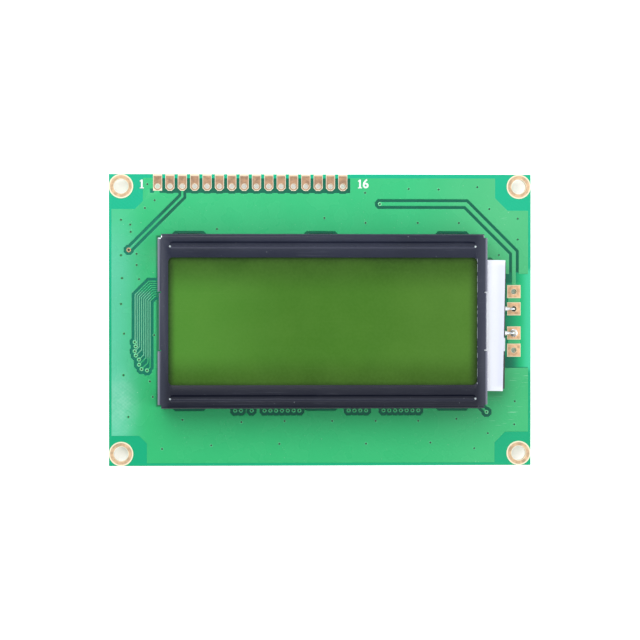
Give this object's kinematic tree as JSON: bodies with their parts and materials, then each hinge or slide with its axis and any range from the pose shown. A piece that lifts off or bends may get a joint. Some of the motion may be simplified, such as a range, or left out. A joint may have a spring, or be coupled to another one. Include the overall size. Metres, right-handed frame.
{
  "type": "character lcd module",
  "caption": "Character display module: backlit green liquid crystal window in a black sheet bezel on a green circuit board with a header row along one long edge.",
  "frame": {"origin": "centre of the four mounting holes, on the circuit board's back face", "axes": "+X along the board towards the backlight's end, +Y across it towards the header row, +Z out of the display's face"},
  "size_m": [0.087, 0.06, 0.0123],
  "materials": {
    "laminate": "green laminate under solder mask",
    "front_mask": "bright green solder mask over copper",
    "rear_mask": "green solder mask over copper",
    "bare_lands": "bare copper with a thin protective film",
    "contact_pads": "gold flashed",
    "bezel_paint": "black satin paint",
    "front_film": "yellow-green film, satin",
    "cell_glass": "clear",
    "seal_resin": "cured resin",
    "rear_film": "transflective film",
    "zebra_rubber": "striped silicone",
    "diffuser": "milky film",
    "guide_acrylic": "clear acrylic",
    "reflector": "white film",
    "cover_film": "white film",
    "strip_laminate": "dark laminate",
    "emitter": "clear moulding over a yellow-green emitter",
    "tinned_wire": "tinned",
    "solder": "bright solder",
    "epoxy": "black epoxy, uneven satin",
    "resistor_body": "glazed black",
    "capacitor_body": "tan ceramic"
  },
  "bodies": {
    "root": {"circuit_board": "laminate", "front_copper": "front_mask", "rear_copper": "rear_mask", "mounting_hole_lands": "bare_lands", "header_lands": "bare_lands", "backlight_lands": "bare_lands", "zebra_contact_pads": "contact_pads", "bezel": "bezel_paint", "front_polarizer": "front_film", "front_glass": "cell_glass", "glass_seal": "seal_resin", "fill_port_plug": "seal_resin", "rear_glass": "cell_glass", "rear_polarizer": "rear_film", "upper_zebra_strip": "zebra_rubber", "lower_zebra_strip": "zebra_rubber", "diffuser_film": "diffuser", "light_guide": "guide_acrylic", "reflector_film": "reflector", "tab_cover_film": "cover_film", "led_strip_board": "strip_laminate", "backlight_leds": "emitter", "anode_lead": "tinned_wire", "cathode_lead": "tinned_wire", "lead_solder": "solder", "controller_blob": "epoxy", "driver_blobs": "epoxy", "chip_resistors": "resistor_body", "chip_capacitors": "capacitor_body", "chip_solder": "solder"}
  },
  "joints": []
}
